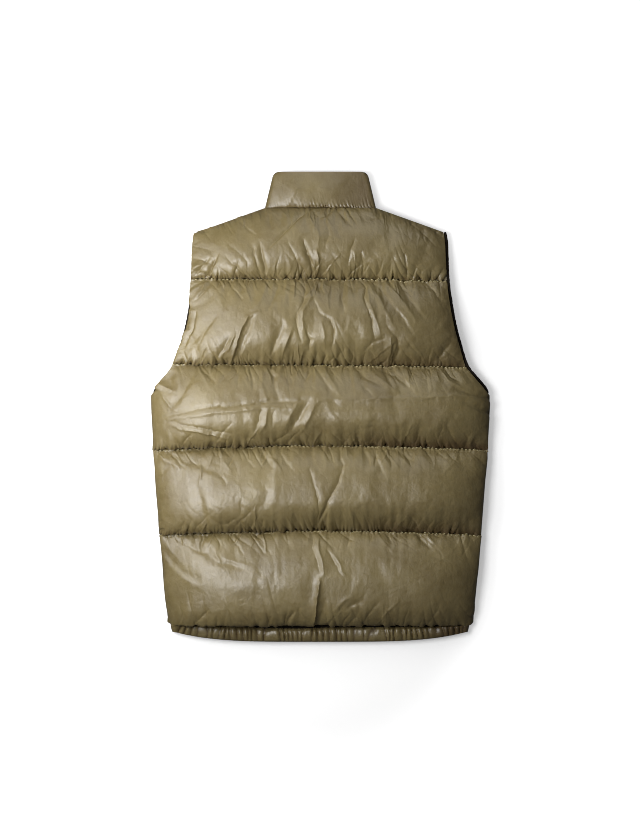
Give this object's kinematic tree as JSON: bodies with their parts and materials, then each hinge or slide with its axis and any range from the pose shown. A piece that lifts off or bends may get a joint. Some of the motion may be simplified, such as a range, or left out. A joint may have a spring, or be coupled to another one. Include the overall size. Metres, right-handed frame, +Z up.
{
  "type": "puffer vest",
  "caption": "Quilted sleeveless vest with a stand collar, a front zip and a gathered elastic hem, laid flat with its back uppermost.",
  "frame": {"origin": "on the surface that the vest lies on, at the middle of its width and of its length", "axes": "+X towards the wearer's right, +Y towards the collar, +Z up out of the back"},
  "size_m": [0.5416, 0.752, 0.0632],
  "materials": {
    "shell_cloth": "glossy coated nylon, olive",
    "binding_cloth": "matt stretch binding, near black",
    "zip_tape_cloth": "matt woven tape, dark olive",
    "zip_teeth": "satin moulded teeth, dark olive",
    "zip_metal": "satin, dark plated"
  },
  "bodies": {
    "vest": {"back_yoke": "shell_cloth", "back_baffle_1": "shell_cloth", "back_baffle_2": "shell_cloth", "back_baffle_3": "shell_cloth", "back_baffle_4": "shell_cloth", "front_left_yoke": "shell_cloth", "front_left_baffle_1": "shell_cloth", "front_left_baffle_2": "shell_cloth", "front_left_baffle_3": "shell_cloth", "front_left_baffle_4": "shell_cloth", "front_right_yoke": "shell_cloth", "front_right_baffle_1": "shell_cloth", "front_right_baffle_2": "shell_cloth", "front_right_baffle_3": "shell_cloth", "front_right_baffle_4": "shell_cloth", "collar": "shell_cloth", "hem_band_back": "shell_cloth", "hem_band_front_left": "shell_cloth", "hem_band_front_right": "shell_cloth", "hem_band_side_left": "shell_cloth", "hem_band_side_right": "shell_cloth", "armhole_binding_left": "binding_cloth", "armhole_binding_right": "binding_cloth", "zip_tape_left": "zip_tape_cloth", "zip_tape_right": "zip_tape_cloth", "zip_chain": "zip_teeth", "zip_box": "zip_metal", "zip_slider": "zip_metal"},
    "pull": {"zip_pull": "zip_metal"}
  },
  "joints": [
    {"name": "zip_pull_swing", "type": "hinge", "parent": "vest", "child": "pull", "pos_m": [0, 0.2925, 0.00323], "axis": [1, 0, 0], "range_deg": [0, 165]}
  ]
}
